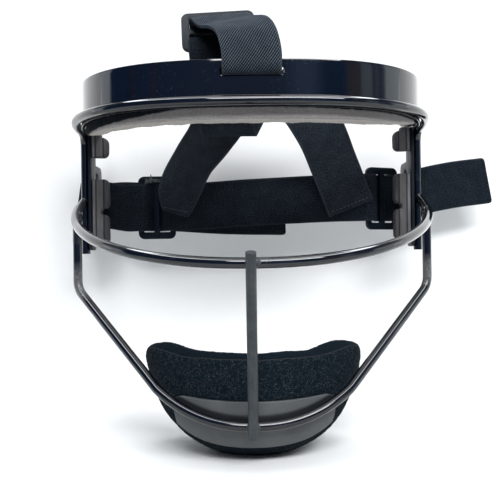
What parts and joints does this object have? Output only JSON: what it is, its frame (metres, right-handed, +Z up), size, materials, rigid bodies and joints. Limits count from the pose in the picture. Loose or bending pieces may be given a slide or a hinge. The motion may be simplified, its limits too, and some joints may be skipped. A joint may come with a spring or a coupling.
{
  "type": "softball fielder mask",
  "caption": "Open face guard: welded rod cage with a slotted brow plate, foam pads, a padded chin cup and an elastic strap harness, standing on its chin cup.",
  "frame": {"origin": "on the surface that the mask stands on, in the flat foot of the chin cup, in the mask's middle plane", "axes": "+Z up towards the wearer's crown; -Y is the way the wearer looks; +X is to the right of someone who looks at the front"},
  "size_m": [0.2495, 0.1514, 0.218],
  "materials": {
    "black_coat": "gloss black coat on steel rod",
    "gloss_black": "smooth gloss black",
    "brow_foam": "dark foam with a brushed cloth face",
    "side_grey": "satin dark grey",
    "side_foam": "grey-brown foam skin",
    "chin_foam": "black brushed cloth over foam",
    "chin_grey": "satin dark grey",
    "webbing": "woven elastic webbing",
    "moulding": "satin black moulding"
  },
  "bodies": {
    "root": {"cage": "black_coat", "brow_plate": "gloss_black", "brow_pad": "brow_foam", "side_plate_left": "side_grey", "side_plate_right": "side_grey", "side_pad_left": "side_foam", "side_pad_right": "side_foam", "temple_pad_left": "side_foam", "temple_pad_right": "side_foam", "chin_pad": "chin_foam", "chin_plate": "chin_grey", "back_strap": "webbing", "v_strap_left": "webbing", "v_strap_right": "webbing", "crown_strap": "webbing", "brow_loop": "webbing", "buckle_left": "moulding", "buckle_right": "moulding", "crown_buckle": "moulding"}
  },
  "joints": []
}
